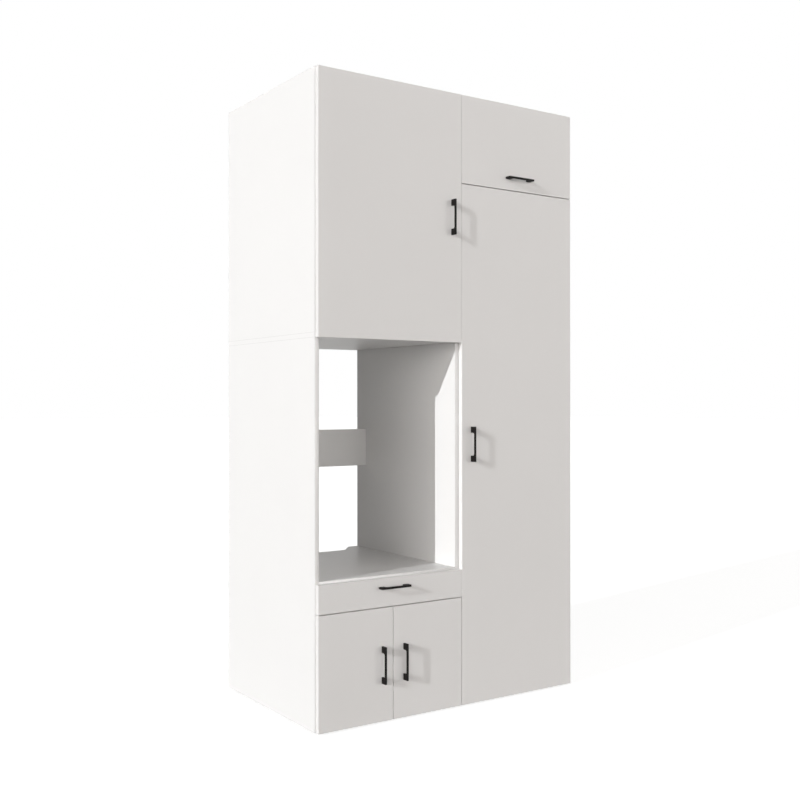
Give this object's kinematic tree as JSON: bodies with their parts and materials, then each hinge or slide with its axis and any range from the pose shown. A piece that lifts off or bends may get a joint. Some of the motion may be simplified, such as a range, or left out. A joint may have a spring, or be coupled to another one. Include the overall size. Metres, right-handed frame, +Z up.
{
  "type": "washing machine cabinet",
  "caption": "Tall white cabinet for a washing machine, with an open raised niche, a drawer and doors below it, cupboards above and beside it, and black bow handles.",
  "frame": {"origin": "on the floor, at the centre of the overall box of the closed cabinet, handles included", "axes": "+X right, +Y from the fronts towards the wall, +Z up"},
  "size_m": [1.296, 0.662, 2.4],
  "materials": {
    "carcass_board": "white melamine-faced board, satin",
    "front_board": "white melamine-faced board, satin",
    "drawer_board": "white melamine-faced board, satin",
    "back_board": "thin white-lacquered fibreboard",
    "black_metal": "matt black",
    "nickel": "nickel plated",
    "zinc": "zinc plated",
    "black_plastic": "moulded"
  },
  "bodies": {
    "carcass": {"washer_side_left": "carcass_board", "washer_side_right": "carcass_board", "washer_ceiling": "carcass_board", "washer_floor": "carcass_board", "washer_back_rail": "carcass_board", "base_bottom": "carcass_board", "base_back": "back_board", "upper_side_left": "carcass_board", "upper_side_right": "carcass_board", "upper_top": "carcass_board", "upper_bottom": "carcass_board", "upper_back": "back_board", "upper_fixing_rail": "carcass_board", "upper_shelves": "carcass_board", "tall_side_left": "carcass_board", "tall_side_right": "carcass_board", "tall_top": "carcass_board", "tall_bottom": "carcass_board", "tall_back": "back_board", "tall_shelves": "carcass_board", "loft_side_left": "carcass_board", "loft_side_right": "carcass_board", "loft_top": "carcass_board", "loft_bottom": "carcass_board", "loft_back": "back_board", "loft_fixing_rail": "carcass_board", "cam_locks": "zinc", "glides": "black_plastic", "shelf_pins": "nickel", "unit_bolts": "zinc", "hinge_arms": "nickel", "drawer_rails": "zinc"},
    "upper_door_link_set": {"upper_door_links": "nickel"},
    "upper_door": {"upper_door": "front_board", "upper_door_handle": "black_metal", "upper_door_cups": "nickel"},
    "tall_door_link_set": {"tall_door_links": "nickel"},
    "tall_door": {"tall_door": "front_board", "tall_door_handle": "black_metal", "tall_door_cups": "nickel"},
    "base_door_left_link_set": {"base_door_left_links": "nickel"},
    "base_door_left": {"base_door_left": "front_board", "base_door_left_handle": "black_metal", "base_door_left_cups": "nickel"},
    "base_door_right_link_set": {"base_door_right_links": "nickel"},
    "base_door_right": {"base_door_right": "front_board", "base_door_right_handle": "black_metal", "base_door_right_cups": "nickel"},
    "loft_flap_link_set": {"loft_flap_links": "nickel"},
    "loft_flap": {"loft_flap": "front_board", "loft_flap_handle": "black_metal", "loft_flap_cups": "nickel"},
    "drawer": {"drawer_front": "front_board", "drawer_handle": "black_metal", "drawer_side_left": "drawer_board", "drawer_side_right": "drawer_board", "drawer_back": "drawer_board", "drawer_base": "back_board", "drawer_inner_slides": "zinc"},
    "drawer_mid_slides": {"drawer_mid_slides": "zinc"}
  },
  "joints": [
    {"name": "upper_door_link_turn", "type": "hinge", "parent": "carcass", "child": "upper_door_link_set", "pos_m": [-0.618, -0.285, 1.9125], "axis": [0, 0, 1], "range_deg": [0, 26]},
    {"name": "upper_door_turn", "type": "hinge", "parent": "upper_door_link_set", "child": "upper_door", "pos_m": [-0.637, -0.297, 1.9125], "axis": [0, 0, -1], "range_deg": [0, 130]},
    {"name": "tall_door_link_turn", "type": "hinge", "parent": "carcass", "child": "tall_door_link_set", "pos_m": [0.618, -0.285, 1.029], "axis": [0, 0, -1], "range_deg": [0, 26]},
    {"name": "tall_door_turn", "type": "hinge", "parent": "tall_door_link_set", "child": "tall_door", "pos_m": [0.637, -0.297, 1.029], "axis": [0, 0, 1], "range_deg": [0, 130]},
    {"name": "base_door_left_link_turn", "type": "hinge", "parent": "carcass", "child": "base_door_left_link_set", "pos_m": [-0.618, -0.285, 0.22], "axis": [0, 0, 1], "range_deg": [0, 26]},
    {"name": "base_door_left_turn", "type": "hinge", "parent": "base_door_left_link_set", "child": "base_door_left", "pos_m": [-0.637, -0.297, 0.22], "axis": [0, 0, -1], "range_deg": [0, 130]},
    {"name": "base_door_right_link_turn", "type": "hinge", "parent": "carcass", "child": "base_door_right_link_set", "pos_m": [0.006, -0.285, 0.22], "axis": [0, 0, -1], "range_deg": [0, 26]},
    {"name": "base_door_right_turn", "type": "hinge", "parent": "base_door_right_link_set", "child": "base_door_right", "pos_m": [0.025, -0.297, 0.22], "axis": [0, 0, 1], "range_deg": [0, 130]},
    {"name": "loft_flap_link_turn", "type": "hinge", "parent": "carcass", "child": "loft_flap_link_set", "pos_m": [0.342, -0.285, 2.37], "axis": [1, 0, 0], "range_deg": [0, 22]},
    {"name": "loft_flap_turn", "type": "hinge", "parent": "loft_flap_link_set", "child": "loft_flap", "pos_m": [0.342, -0.297, 2.389], "axis": [-1, 0, 0], "range_deg": [0, 110]},
    {"name": "drawer_slide", "type": "slide", "parent": "carcass", "child": "drawer", "axis": [0, -1, 0], "range_m": [0, 0.45]},
    {"name": "drawer_mid_slide", "type": "slide", "parent": "carcass", "child": "drawer_mid_slides", "axis": [0, -1, 0], "range_m": [0, 0.225]}
  ],
  "couplings": [
    {"joint": "upper_door_link_turn", "follows": "upper_door_turn", "ratio": 0.2},
    {"joint": "tall_door_link_turn", "follows": "tall_door_turn", "ratio": 0.2},
    {"joint": "base_door_left_link_turn", "follows": "base_door_left_turn", "ratio": 0.2},
    {"joint": "base_door_right_link_turn", "follows": "base_door_right_turn", "ratio": 0.2},
    {"joint": "loft_flap_link_turn", "follows": "loft_flap_turn", "ratio": 0.2},
    {"joint": "drawer_mid_slide", "follows": "drawer_slide", "ratio": 0.5}
  ]
}
